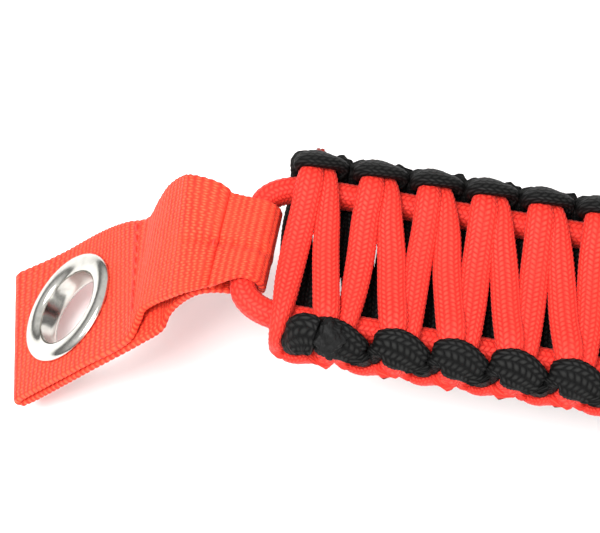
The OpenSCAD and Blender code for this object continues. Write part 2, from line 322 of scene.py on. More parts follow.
def cord_material(name, dark, base, light, sheen, gloss):
    """Braided nylon: painted shade darkens the colour between the yarns, a painted highlight lightens their
    crowns, and a soft sheen.
    """
    material, w, shader = start_material(name)
    coordinates = weave_coordinates(w)
    braid = place_group(w, braid_group, Vector=coordinates, Slant=YARN_SLANT)
    place = w.node("ShaderNodeTexCoord").outputs["Object"]
    blotch = w.noise(place, 260.0, 3.0)
    fuzz = w.noise(place, 5200.0, 2.0, 0.7)
    # Painted shade and highlight: the colour runs from dark between the yarn floats to light on their
    # crowns, the way light falls on them.
    painted_gap_shade = w.mix(w.scale_range(braid.outputs["Shade"], 0.05, 0.7, 0.0, 1.0), dark, base)
    painted_highlight = w.mix(w.scale_range(braid.outputs["Shade"], 0.55, 1.0, 0.0, 0.75), painted_gap_shade, light)
    tinted = w.mix(w.scale_range(blotch, 0.35, 0.7, 0.0, 0.35), painted_highlight, base)
    w.plug(shader.inputs["Base Color"], tinted)
    w.plug(shader.inputs["Roughness"], w.math("MULTIPLY_ADD", fuzz, 0.22, 0.5))
    shader.inputs["Sheen Weight"].default_value = sheen
    shader.inputs["Sheen Roughness"].default_value = 0.45
    shader.inputs["Specular IOR Level"].default_value = gloss
    threads = w.math("MULTIPLY_ADD", braid.outputs["Filament"], 0.05, braid.outputs["Height"])
    height = w.math("MULTIPLY_ADD", fuzz, 0.16, threads)
    add_bump(w, shader, height, 1.0, YARN_DEPTH)
    return material


def webbing_material(name, dark, base, light):
    """Nylon webbing: a painted highlight makes the ribs bright, and painted shade darkens the grooves
    between them.
    """
    material, w, shader = start_material(name)
    coordinates = weave_coordinates(w)
    cloth = place_group(w, webbing_group, Vector=coordinates)
    place = w.node("ShaderNodeTexCoord").outputs["Object"]
    blotch = w.noise(place, 200.0, 3.0)
    fuzz = w.noise(place, 6000.0, 2.0, 0.7)
    # Painted shade in the grooves between the ribs and warp yarns, and a painted highlight on the rib
    # crowns.
    ground = w.mix(w.scale_range(cloth.outputs["Shade"], 0.0, 0.55, 0.0, 1.0), dark, base)
    painted_highlight = w.mix(w.scale_range(cloth.outputs["Shade"], 0.55, 1.0, 0.0, 0.7), ground, light)
    tinted = w.mix(w.scale_range(blotch, 0.35, 0.7, 0.0, 0.4), painted_highlight, base)
    w.plug(shader.inputs["Base Color"], tinted)
    w.plug(shader.inputs["Roughness"], w.math("MULTIPLY_ADD", fuzz, 0.2, 0.6))
    shader.inputs["Sheen Weight"].default_value = 0.05
    shader.inputs["Sheen Roughness"].default_value = 0.5
    shader.inputs["Specular IOR Level"].default_value = 0.25
    add_bump(w, shader, w.math("MULTIPLY_ADD", fuzz, 0.15, cloth.outputs["Height"]), 1.0, RIB_DEPTH)
    return material


# In each cloth, dark is the painted shade between yarns or ribs, light is the painted highlight on their
# crowns, and base is the cloth's own colour.
red_cord = cord_material(
    "red_braided_cord", dark=(0.48, 0.010, 0.006, 1), base=(0.74, 0.026, 0.014, 1),
    light=(0.88, 0.065, 0.04, 1), sheen=0.05, gloss=0.25)
black_cord = cord_material(
    "black_braided_cord", dark=(0.001, 0.001, 0.001, 1), base=(0.005, 0.005, 0.005, 1),
    light=(0.024, 0.024, 0.023, 1), sheen=0.0, gloss=0.09)
red_webbing = webbing_material(
    "red_ribbed_webbing", dark=(0.55, 0.018, 0.008, 1), base=(0.88, 0.06, 0.022, 1),
    light=(0.95, 0.12, 0.055, 1))
print("cloth materials:", red_cord.name, black_cord.name, red_webbing.name)


# %% [markdown]
# ## Mesh helpers
# Every cloth piece is a tube or a slab whose grid lines follow the yarns, so that the same length and
# width coordinates shape the mesh and place the pattern. Grids are made with array arithmetic.

# %% Grid meshes
def unit(v):
    return v / np.maximum(np.linalg.norm(v, axis=-1, keepdims=True), 1e-12)


def grid_object(name, points, coordinates, closed_round, material, caps=True):
    """A mesh from a grid of points, rows along the piece and columns round or across it.
    coordinates holds one more column than points where the grid closes round."""
    rows, columns = points.shape[:2]
    wide = columns if closed_round else columns - 1
    row, column = np.meshgrid(np.arange(rows - 1), np.arange(wide), indexing="ij")
    after = (column + 1) % columns
    corners = np.stack([row * columns + column, row * columns + after,
                        (row + 1) * columns + after, (row + 1) * columns + column], axis=-1).reshape(-1, 4)
    steps = np.stack([np.stack([row, column], -1), np.stack([row, column + 1], -1),
                      np.stack([row + 1, column + 1], -1), np.stack([row + 1, column], -1)], axis=2)
    uvs = coordinates[steps[..., 0], steps[..., 1]].reshape(-1, 2)
    faces = corners.tolist()
    if closed_round and caps:
        faces.append(list(range(columns))[::-1])
        faces.append(list(range((rows - 1) * columns, rows * columns)))
        uvs = np.concatenate([uvs, np.tile(coordinates[0, 0], (columns, 1)),
                              np.tile(coordinates[-1, 0], (columns, 1))])
    mesh = bpy.data.meshes.new(name)
    mesh.from_pydata(points.reshape(-1, 3).tolist(), [], faces)
    layer = mesh.uv_layers.new(name=WEAVE_MAP)
    layer.data.foreach_set("uv", uvs.astype(np.float32).ravel())
    mesh.polygons.foreach_set("use_smooth", np.ones(len(faces), dtype=bool))
    mesh.materials.append(material)
    mesh.validate()
    made = bpy.data.objects.new(name, mesh)
    bpy.context.collection.objects.link(made)
    return made


def curve_through(stations, spacing):
    """Samples a smooth curve through rows of numbers, the first three of which are a place.
    Rows between stations follow a cubic whose slope at a station runs along its two neighbours."""
    stations = np.asarray(stations, dtype=float)
    chord = np.linalg.norm(np.diff(stations[:, :3], axis=0), axis=1)
    knots = np.concatenate([[0], np.cumsum(np.sqrt(chord / MM))])
    slopes = np.gradient(stations, knots, axis=0)
    steps = 24
    parts = []
    for i in range(len(stations) - 1):
        t = np.linspace(0, 1, steps, endpoint=False)[:, None]
        span = knots[i + 1] - knots[i]
        parts.append((2 * t**3 - 3 * t**2 + 1) * stations[i] + (t**3 - 2 * t**2 + t) * span * slopes[i]
                     + (3 * t**2 - 2 * t**3) * stations[i + 1] + (t**3 - t**2) * span * slopes[i + 1])
    fine = np.concatenate(parts + [stations[-1:]])
    length = np.concatenate([[0], np.cumsum(np.linalg.norm(np.diff(fine[:, :3], axis=0), axis=1))])
    count = max(2, int(round(length[-1] / spacing)) + 1)
    even = np.linspace(0, length[-1], count)
    return np.stack([np.interp(even, length, fine[:, c]) for c in range(fine.shape[1])], axis=1), even


FLOAT_STEP = 0.8 * MM
FLOAT_RELIEF = 0.05 * MM
BRAID_COLUMNS = 16
POINTS_AROUND = 2 * BRAID_COLUMNS
SQUARENESS = 2.35


def braided_tube(name, stations, material):
    """A braided cord through stations of place, side direction, half width and half thickness.
    Its section is a rounded oblong, and every second yarn float stands a little proud."""
    rows, length = curve_through(stations, FLOAT_STEP / 2)
    centre, side = rows[:, :3], rows[:, 3:6]
    tangent = unit(np.gradient(centre, axis=0))
    side = unit(side - (side * tangent).sum(1, keepdims=True) * tangent)
    up = np.cross(tangent, side)
    angle = np.linspace(0, math.tau, POINTS_AROUND, endpoint=False)
    wide = np.sign(np.cos(angle)) * np.abs(np.cos(angle)) ** (2 / SQUARENESS)
    tall = np.sign(np.sin(angle)) * np.abs(np.sin(angle)) ** (2 / SQUARENESS)
    half_a, half_b = rows[:, 6:7], rows[:, 7:8]
    offset = (half_a * wide)[..., None] * side[:, None] + (half_b * tall)[..., None] * up[:, None]
    place = np.arange(POINTS_AROUND)
    count = np.arange(len(rows))
    crest = np.where((count[:, None] + (place // 2)[None]) % 2 == 0, 1.0, -1.0)
    crest = np.where((place % 2 == 1)[None], crest, -0.35)
    points = centre[:, None] + offset + FLOAT_RELIEF * crest[..., None] * unit(offset)
    uv = np.zeros((len(rows), POINTS_AROUND + 1, 2))
    uv[..., 0] = (length / FLOAT_STEP)[:, None]
    uv[..., 1] = np.arange(POINTS_AROUND + 1) * BRAID_COLUMNS / POINTS_AROUND
    made = grid_object(name, points, uv, True, material)
    print(name, "is", round(length[-1] / MM), "mm of cord,", len(rows) * POINTS_AROUND, "points")
    return made


# %% [markdown]
# ## The working cords
# Each knot sends the red cord across the front and the black cord across the back. At the edge each
# one passes under the other's turn, then makes a turn of its own outside it. Both cords follow one
# rule: the black route is the red route turned half round the strap's axis. Places near an edge are
# given as an angle and a distance from the core strand, because the cords wrap round that strand.

# %% Weave route
STRAND_SPREAD = WEAVE_PITCH / 8
TURN_LAG = 1.0 * MM
OVER_CORE = CORD_RADIUS + 0.95 * MM
HALF_THICK = 1.15 * MM
BACK_FILL = 1.22
LOOSE_RUN = 13 * MM
LOOSE_FAR, LOOSE_NEAR = 1.1 * MM, 0.8 * MM
PACKED_SHORT = 1.1 * MM


def end_slack(progress, across):
    """How far a place shifts towards the tab. The whole weave is packed a little short, and its last
    knots are looser, most of all at the near side."""
    late = np.clip((progress - (WEAVE_LENGTH - LOOSE_RUN)) / LOOSE_RUN, 0, 1)
    late = late * late * (3 - 2 * late)
    near_side = np.clip(0.75 - across / (1.4 * CORE_OFFSET), 0, 1)
    return late * (LOOSE_FAR + LOOSE_NEAR * near_side) - PACKED_SHORT * progress / WEAVE_LENGTH


def weave_point(progress, across, up):
    """A place on the strap: progress runs from the windlass end to the eyelet end."""
    return [strap_middle[0] + WEAVE_LENGTH / 2 - progress + KNOT_SKEW * across - end_slack(progress, across),
            strap_middle[1] + across, strap_middle[2] + up]


def knot_stations(k, face):
    """One knot of a working cord: up at one edge, across, down at the other, and round its turn.
    The end that sinks is the newer one, so it lies wide and high over its narrow, older neighbour."""
    edge = (1 if k % 2 == 0 else -1) * face
    level = k * KNOT_STEP
    spread = STRAND_SPREAD
    drift = rng.normal(0, 0.09 * MM, 3)
    fill = (1.0 if face > 0 else BACK_FILL) + 0.03 * rng.normal()
    row = [weave_point(level + 1.5 * spread, edge * (CORE_OFFSET + 3.5 * MM), 0)
           + [-edge, 0, 0, 1.0 * MM, 1.2 * MM],
           weave_point(level + 1.2 * spread, edge * (CORE_OFFSET + 2.2 * MM), face * 2.0 * MM)
           + [-edge, 0, -0.1 * face, 1.3 * MM, 1.1 * MM]]
    crossing = (
        (0.8, 1.0, -0.2, 1.5, -0.2), (0.42, 0.55, -0.35, 1.85, -0.05), (0.05, 0.0, -0.5, 2.0, 0.0),
        (-0.35, -0.55, 0.1, 2.0, 0.05), (-0.75, -1.0, 0.8, 1.95, 0.12))
    for i, (lag, across, lift, half_a, tilt) in enumerate(crossing):
        shift = drift[i - 1] if 0 < i < 4 else 0
        place = weave_point(level + lag * spread + shift, edge * across * CORE_OFFSET,
                            face * (OVER_CORE + lift * MM))
        row.append(place + [-edge, 0, -tilt * face, half_a * fill * MM, HALF_THICK])
    row += [weave_point(level - 0.9 * spread, -edge * (CORE_OFFSET + 2.6 * MM), face * 2.5 * MM)
            + [-edge, 0, 0, 1.5 * MM, 1.1 * MM],
            weave_point(level - 1.1 * spread, -edge * (CORE_OFFSET + 4.2 * MM), 0)
            + [-edge, 0, 0, 1.6 * MM, 1.15 * MM]]
    start, finish = level - spread, level + KNOT_STEP + spread
    turn = ((0.1, 26, 4.5, 2.4), (0.32, 41, 4.95, 2.9), (0.58, 46, 4.95, 2.8), (0.84, 46, 4.6, 2.1))
    for share, angle, distance, half_a in turn:
        progress = start + share * (finish - start) + TURN_LAG * math.sin(math.pi * share)
        row.append(edge_place(progress, -edge, -face, angle, distance, half_a, 1.05, face))
    return row


def edge_place(progress, edge, face, angle, distance, half_a, half_b, turn):
    """A station beside a core strand, given by an angle towards the face and a distance in mm.
    The cord's wide side runs round the strand."""
    a = math.radians(angle)
    place = weave_point(progress, edge * (CORE_OFFSET + distance * MM * math.cos(a)),
                        face * distance * MM * math.sin(a))
    return place + [0, -turn * face * math.sin(a), turn * edge * math.cos(a), half_a * MM, half_b * MM]


def tail(level, edge, face, turn, route):
    """The last stretch of a cord, laid back along the edge over its own side's last hump."""
    return [edge_place(level - along * MM, edge, face, angle, distance, half_a, half_b, turn)
            for along, angle, distance, half_a, half_b in route]


BLACK_TAIL = ((0.2, 30, 4.9, 2.4, 1.15), (0.9, 42, 5.5, 2.9, 1.15), (1.8, 47, 6.0, 3.0, 1.15),
              (2.8, 46, 6.3, 2.7, 1.1))
RED_TAIL = ((-0.9, 16, 5.0, 1.9, 1.2), (-0.2, 18, 5.6, 2.0, 1.15), (0.5, 12, 6.1, 2.0, 1.1))


def working_cord(name, face, material, end_route):
    stations = []
    for k in range(KNOTS):
        stations += knot_stations(k, face)
    last = (KNOTS - 1) * KNOT_STEP - STRAND_SPREAD
    stations = stations[:-4] + tail(last, face, -face, face, end_route)
    return braided_tube(name, stations, material)


front_cord = working_cord("front_cord", 1, red_cord, RED_TAIL)
back_cord = working_cord("back_cord", -1, black_cord, BLACK_TAIL)
for piece, node in ((front_cord, "weave_front_cord"), (back_cord, "weave_back_cord")):
    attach(piece, "strap")
    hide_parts(node)

# %% [markdown]
# ## The core cord
# It lies round inside the weave as a long flat ring. Only short stretches show: a little between the
# knots along each edge, and the bends that hold the two tabs.


# %% Core cord
def core_stations():
    """Round the ring from one end of the cord to the other, which meet in the weave."""
    corner_x, corner_y = 6.5 * MM, 4.3 * MM
    half_x, half_y = BIGHT_X - corner_x, CORE_OFFSET - corner_y
    route = [(0.3 * MM, CORE_OFFSET)]
    route += [(half_x * share, CORE_OFFSET) for share in (0.25, 0.5, 0.75, 0.97)]
    for centre_x, centre_y, begin in ((half_x, half_y, 90), (half_x, -half_y, 0),
                                      (-half_x, -half_y, -90), (-half_x, half_y, -180)):
        on_cross_run = (math.copysign(BIGHT_X, centre_x), 0.75 * centre_y)
        if begin == -90:
            route += [(half_x * share, -CORE_OFFSET) for share in (0.97, 0.5, 0, -0.5, -0.97)]
        if begin in (0, -180):
            route.append(on_cross_run)
        for step in range(5):
            a = math.radians(begin - 22.5 * step)
            route.append((centre_x + corner_x * math.cos(a), centre_y + corner_y * math.sin(a)))
        if begin in (90, -90):
            route.append(on_cross_run)
    route += [(-half_x * share, CORE_OFFSET) for share in (0.97, 0.75, 0.5, 0.25)]
    route.append((-0.3 * MM, CORE_OFFSET))
    return [[strap_middle[0] + x, strap_middle[1] + y, strap_middle[2], 0, 0, 1, CORD_RADIUS, CORD_RADIUS]
            for x, y in route]


core_cord = braided_tube("core_cord_sheath", core_stations(), red_cord)
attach(core_cord, "strap")
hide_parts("core_cord")

# %% [markdown]
# ## The eyelet tab
# One length of 25 mm webbing. It is gathered to go round the core cord, opens out to its full width,
# folds back on itself at the end and comes home under its own tail, where it is sewn. The gathering
# makes the far edge puff up. Each row across it is given by its near and far edges.

# %% Tab directions
NECK_LENGTH = 7 * MM
TAB_HALF = 12.5 * MM
PANEL_LENGTH = 38.5 * MM
EYELET_BORE = 6.1 * MM
EYELET_FLANGE = 9.3 * MM
LAYER = 0.66 * MM

mount = frame["record"]["mounts"][0]
eyelet_middle = np.array(mount["pos_m"])
panel_normal = np.array(mount["axis"])
slope_x = np.array([panel_normal[2], 0, -panel_normal[0]])
slope_y = np.array([0.0, 1.0, 0.0])
bend = near_bight - np.array([NECK_LENGTH, 0, 0])
offset = eyelet_middle - bend
swing = math.atan2(-offset @ slope_y, -offset @ slope_x)
print("panel slopes", round(math.degrees(math.asin(-panel_normal[0])), 1), "and swings",
      round(math.degrees(swing), 1), "degrees")


def on_slope(x, y, z):
    """A place in mm beside the neck's end: down the slope, across it and above it."""
    return bend + (x * slope_x + y * slope_y + z * panel_normal) * MM


def on_panel(x, y, z):
    """A place in mm in the swung panel's own directions."""
    return on_slope(x * math.cos(swing) - y * math.sin(swing), x * math.sin(swing) + y * math.cos(swing), z)


def on_neck(x, y, z):
    """A place in mm beside the core cord's cross run."""
    return near_bight + np.array([x, y, z]) * MM


# %% Webbing strips
RIB_STEP = 0.95 * MM
RIB_RELIEF = 0.03 * MM
WARP_STEP = 0.5 * MM
ROW_SPACING = 0.24 * MM
EDGE_POINTS = 5


def webbing_strip(name, near, far, half_thickness, material, across=44, cushion=None):
    """A strip of ribbed webbing between two edges, given as lists of places.
    cushion, where given, tells how far each point is moved."""
    near, far = np.array(near), np.array(far)
    rows, length = curve_through(np.concatenate([(near + far) / 2, (far - near) / 2], axis=1), ROW_SPACING)
    centre, reach = rows[:, :3], rows[:, 3:]
    normal = unit(np.cross(np.gradient(centre, axis=0), reach))
    top = np.linspace(-1, 1, across)
    bow = np.linspace(0, math.pi, EDGE_POINTS + 2)[1:-1]
    width = np.linalg.norm(reach, axis=1).mean()
    round_off = half_thickness / width
    c = np.concatenate([top * (1 - round_off), 1 - round_off + round_off * np.sin(bow),
                        top[::-1] * (1 - round_off), -1 + round_off - round_off * np.sin(bow)])
    h = np.concatenate([np.ones(across), np.cos(bow), -np.ones(across), -np.cos(bow)])
    rib = np.cos(length / RIB_STEP * math.tau)[:, None]
    yarn = np.cos(c * width / WARP_STEP * math.tau)[None]
    scallop = 1 + 0.07 * MM / width * rib * (np.abs(c) > 0.97)[None]
    grain = RIB_RELIEF * (rib + 0.35 * rib * yarn)
    points = centre[:, None] + (c[None] * scallop)[..., None] * reach[:, None]
    points = points + ((half_thickness + grain) * h[None])[..., None] * normal[:, None]
    if cushion:
        points = points + cushion(points)
    uv = np.zeros((len(rows), len(c) + 1, 2))
    uv[..., 0] = (length / RIB_STEP)[:, None]
    uv[..., 1] = np.append(c, c[0])[None] * width / WARP_STEP
    made = grid_object(name, points, uv, True, material)
    print(name, "is", round(length[-1] / MM), "mm of webbing,", len(rows) * len(c), "points")
    return made


def tab_rows():
    """The near and far edge of each row across the tab, from the tail's end round to the tucked end."""
    half = TAB_HALF / MM
    fold = PANEL_LENGTH / MM
    layer = LAYER / MM
    loop = 2.72
    pairs = []

    def add(place, near, far):
        pairs.append((place(*near), place(*far)))

    add(on_neck, (-4.3, -8.9, 2.2), (-4.3, 6.5, 2.7))
    add(on_neck, (-2.6, -7.9, 2.5), (-2.6, 6.3, 2.7))
    for angle in (95, 65, 30, 0, -30, -65, -100):
        a = math.radians(angle)
        x, z = loop * math.cos(a), loop * math.sin(a)
        add(on_neck, (x, -6.8, z), (x, 6.2, z))
    add(on_neck, (-3.5, -7.4, -1.9), (-3.5, 6.3, -1.9))
    add(on_slope, (-0.5, -8.6, -1.4), (-1, 6.9, -1.2))
    add(on_slope, (-4.2, -9.2, -1.6), (-5.0, 7.2, -0.9))
    add(on_slope, (-6.2, -10.6, -1.7), (-8.5, 7.0, -0.9))
    add(on_slope, (-6.4, -13.0, -1.4), (-12, 6.5, -0.8))
    add(on_panel, (-13, -half, -layer), (-16, half - 0.8, -layer))
    add(on_panel, (-24, -half, -layer), (-24, half, -layer))
    add(on_panel, (0.8 - fold, -half, -layer), (0.8 - fold, half, -layer))
    for angle in (-135, 180, 135):
        a = math.radians(angle)
        x, z = -fold + 0.15 + layer * math.cos(a), layer * math.sin(a)
        add(on_panel, (x, -half, z), (x, half, z))
    add(on_panel, (0.8 - fold, -half, layer), (0.8 - fold, half, layer))
    add(on_panel, (-24, -half, layer), (-24, half, layer))
    add(on_panel, (-14, -half + 0.1, layer), (-17, half - 1.2, layer))
    add(on_slope, (-9.3, -12.6, 1.0), (-12.8, 6.4, 0.9))
    add(on_slope, (-8.7, -11.1, 1.2), (-9.6, 7.8, 2.2))
    add(on_slope, (-6.5, -10.4, 1.3), (-6.6, 8.8, 3.4))
    add(on_slope, (-3.5, -10.1, 1.3), (-3.2, 8.9, 4.2))
    add(on_slope, (-0.4, -9.8, 1.2), (-0.4, 8.3, 4.4))
    add(on_neck, (-5.4, -8.8, 1.2), (-5.5, 7.2, 3.3))
    add(on_neck, (-3.7, -7.6, 0.6), (-3.6, 6.2, 1.2))
    return [pair[0] for pair in pairs], [pair[1] for pair in pairs]


def pinch(points):
    """Cloth is drawn down along a line of stitches on the neck."""
    x = (points[..., 0] - near_bight[0]) / MM
    y = (points[..., 1] - near_bight[1]) / MM
    z = (points[..., 2] - near_bight[2]) / MM
    line = np.exp(-((y + 1.6) / 0.8) ** 2) * (z > 0) / (1 + np.exp(-(x + 9.5) * 1.5))
    knots = 0.75 + 0.25 * np.cos(x * math.tau / 1.9)
    return np.stack([0 * x, 0 * x, -1.1 * MM * line * knots], axis=-1)


def cut_hole(piece, middle, axis, radius, layer_height):
    """Opens a round hole through every layer: takes out the faces inside it, moves the rim onto a
    circle, and closes each layer's cut edge."""
    shape = bmesh.new()
    shape.from_mesh(piece.data)
    axis, middle = Vector(axis), Vector(middle)

    def from_axis(place):
        apart = place - middle
        return apart - axis * apart.dot(axis)

    inside = [face for face in shape.faces if from_axis(face.calc_center_median()).length < radius]
    bmesh.ops.delete(shape, geom=inside, context="FACES")
    rim = {vertex for edge in shape.edges if edge.is_boundary for vertex in edge.verts}
    for vertex in rim:
        apart = from_axis(vertex.co)
        layer = math.copysign(layer_height, (vertex.co - middle).dot(axis))
        vertex.co = middle + apart.normalized() * radius + axis * layer
    bmesh.ops.remove_doubles(shape, verts=list(rim), dist=0.03 * MM)
    shape.to_mesh(piece.data)
    shape.free()


def corner_curl(points):
    """The fold's far corner reaches further out than the near one, and curls up off the ground."""
    panel_x = (on_panel(1, 0, 0) - on_panel(0, 0, 0)) / MM
    panel_y = (on_panel(0, 1, 0) - on_panel(0, 0, 0)) / MM
    outward = np.clip((eyelet_middle - points) @ panel_x / (10 * MM), 0, 1.1) ** 2
    across = np.clip(0.5 + (points - eyelet_middle) @ panel_y / (2 * TAB_HALF), 0, 1)
    return (outward * across)[..., None] * (1.4 * panel_normal - 2.0 * panel_x) * MM


def tab_shape(points):
    return pinch(points) + corner_curl(points)


near_edge, far_edge = tab_rows()
tab = webbing_strip("eyelet_tab_strip", near_edge, far_edge, 0.6 * MM, red_webbing, cushion=tab_shape)
cut_hole(tab, eyelet_middle, panel_normal, EYELET_BORE + 0.8 * MM, LAYER)
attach(tab, "eyelet_tab")
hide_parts("eyelet_tab_webbing")

# %% [markdown]
# ## Metal, rubber and melted nylon
# The eyelet and the ring are bright nickel plate with faint rubbing marks. The rod is dark anodised
# aluminium with paler worn patches scattered over it. The caps and collars are moulded rubber. The cords'
# cut ends are melted to stop them fraying, which leaves a hard lump: satin black on one cord, glossy amber
# on the other.


# %% Hard materials
def hard_material(name, base, worn, metallic, rough_low, rough_high, bump_depth, grain_scale, gloss=0.5):
    """A solid material whose colour and polish vary softly, with small marks."""
    material, w, shader = start_material(name)
    place = w.node("ShaderNodeTexCoord").outputs["Object"]
    cloud = w.noise(place, 130.0, 4.0)
    grain = w.noise(place, grain_scale, 3.0, 0.65)
    wear = w.scale_range(w.math("MULTIPLY", cloud, grain), 0.2, 0.42, 0.0, 1.0)
    w.plug(shader.inputs["Base Color"], w.mix(wear, base, worn))
    shader.inputs["Metallic"].default_value = metallic
    shader.inputs["Specular IOR Level"].default_value = gloss
    w.plug(shader.inputs["Roughness"], w.scale_range(cloud, 0.3, 0.7, rough_low, rough_high))
    add_bump(w, shader, grain, 0.6, bump_depth)
    return material


nickel = hard_material(
    "nickel_plate", base=(0.58, 0.57, 0.53, 1), worn=(0.44, 0.43, 0.40, 1), metallic=1.0,
    rough_low=0.12, rough_high=0.26, bump_depth=0.01 * MM, grain_scale=900.0)
dark_metal = hard_material(
    "dark_anodised_rod", base=(0.035, 0.036, 0.04, 1), worn=(0.14, 0.14, 0.15, 1), metallic=0.9,
    rough_low=0.30, rough_high=0.48, bump_depth=0.01 * MM, grain_scale=2600.0)
rubber = hard_material(
    "moulded_rubber", base=(0.012, 0.012, 0.013, 1), worn=(0.03, 0.03, 0.03, 1), metallic=0.0,
    rough_low=0.48, rough_high=0.66, bump_depth=0.03 * MM, grain_scale=3000.0)
melted_black = hard_material(
    "melted_black_nylon", base=(0.004, 0.004, 0.004, 1), worn=(0.012, 0.012, 0.012, 1), metallic=0.0,
    rough_low=0.4, rough_high=0.7, bump_depth=0.2 * MM, grain_scale=1100.0, gloss=0.14)
melted_red = hard_material(
    "melted_red_nylon", base=(0.22, 0.012, 0.006, 1), worn=(0.5, 0.05, 0.02, 1), metallic=0.0,
    rough_low=0.12, rough_high=0.35, bump_depth=0.15 * MM, grain_scale=700.0)
thread = hard_material(
    "red_sewing_thread", base=(0.62, 0.02, 0.01, 1), worn=(0.8, 0.06, 0.03, 1), metallic=0.0,
    rough_low=0.5, rough_high=0.7, bump_depth=0.04 * MM, grain_scale=5000.0)
print("hard materials:", nickel.name, dark_metal.name, rubber.name, melted_black.name, melted_red.name)


# %% Turned pieces
def frame_about(axis):
    """Two directions square to an axis."""
    axis = unit(np.array(axis, dtype=float))
    helper = np.array([0.0, 1.0, 0.0]) if abs(axis[1]) < 0.9 else np.array([1.0, 0.0, 0.0])
    first = unit(np.cross(helper, axis))
    return first, np.cross(axis, first), axis


def turned(name, middle, axis, profile, material, closed_profile=False, around=96):
    """A piece turned about an axis. The profile is a list of (radius, height) in mm."""
    first, second, axis = frame_about(axis)
    profile = np.array(profile, dtype=float) * MM
    if closed_profile:
        profile = np.concatenate([profile, profile[:1]])
    angle = np.linspace(0, math.tau, around, endpoint=False)
    ring = np.cos(angle)[:, None] * first + np.sin(angle)[:, None] * second
    points = middle + profile[:, 0, None, None] * ring[None] + profile[:, 1, None, None] * axis
    uv = np.zeros((len(profile), around + 1, 2))
    uv[..., 0] = np.arange(len(profile))[:, None] / len(profile)
    uv[..., 1] = np.arange(around + 1)[None] / around
    made = grid_object(name, points, uv, True, material, caps=not closed_profile)
    if closed_profile:
        weld(made)
    return made


def weld(piece):
    """Joins the first and last ring of a closed profile."""
    shape = bmesh.new()
    shape.from_mesh(piece.data)
    bmesh.ops.remove_doubles(shape, verts=shape.verts, dist=1e-7)
    bmesh.ops.recalc_face_normals(shape, faces=shape.faces)
    shape.to_mesh(piece.data)
    shape.free()


# %% Eyelet
RIM_MIDDLE = (EYELET_BORE + EYELET_FLANGE) / 2 / MM
RIM_HALF = (EYELET_FLANGE - EYELET_BORE) / 2 / MM
SEAT = 1.32


def eyelet_piece():
    """The rim rolls over from its outer edge into a barrel that goes through the webbing."""
    arch = [(RIM_MIDDLE + RIM_HALF * math.cos(a), SEAT + 1.05 * math.sin(a) ** 0.8)
            for a in np.linspace(0, math.pi, 26)]
    inner = EYELET_BORE / MM
    bore = [(inner, 0.6), (inner, -0.6), (inner, -SEAT)]
    clinch = [(inner + 0.12, -SEAT - 0.5), (inner + 0.4, -SEAT - 0.45)]
    outside = [(inner + 0.42, -SEAT), (inner + 0.42, SEAT - 0.15)]
    return arch + bore + clinch + outside


def washer_piece():
    """The dished ring behind the webbing, which the barrel's end is pressed over."""
    arch = [(RIM_MIDDLE + RIM_HALF * math.cos(a), -SEAT - 0.95 * math.sin(a) ** 0.8)
            for a in np.linspace(0, math.pi * 0.72, 18)]
    return [(RIM_MIDDLE + RIM_HALF, -SEAT + 0.1)] + arch + [(EYELET_BORE / MM + 0.5, -SEAT)]


flange = turned("eyelet_flange_rolled", eyelet_middle, panel_normal, eyelet_piece(), nickel, True, 128)
washer = turned("eyelet_washer_domed", eyelet_middle, panel_normal, washer_piece(), nickel, True, 128)
for piece, node in ((flange, "eyelet_flange"), (washer, "eyelet_washer")):
    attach(piece, "eyelet_tab")
    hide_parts(node)


# %% [markdown]
# ## Stitches
# Each row of sewing is a line of short thread loops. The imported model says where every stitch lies.
# Each becomes a little arch of thread whose two ends dip into the cloth. The vertices of a packed stitch
# are gathered into groups by place, and one that falls into more than one group makes more than one
# piece of thread, so the thread has more pieces than there are stitches.

# %% Thread
def loose_parts(mesh):
    """Groups a mesh's vertices by which of them are joined."""
    parent = list(range(len(mesh.vertices)))

    def root(i):
        while parent[i] != i:
            parent[i] = parent[parent[i]]
            i = parent[i]
        return i

    for edge in mesh.edges:
        parent[root(edge.vertices[0])] = root(edge.vertices[1])
    groups = {}
    for i, vertex in enumerate(mesh.vertices):
        groups.setdefault(root(i), []).append(vertex.co)
    return [np.array(group) for group in groups.values()]


SAME_STITCH = 0.9 * MM
THREAD_RADIUS = 0.25 * MM
STITCH_DIP = 0.4 * MM


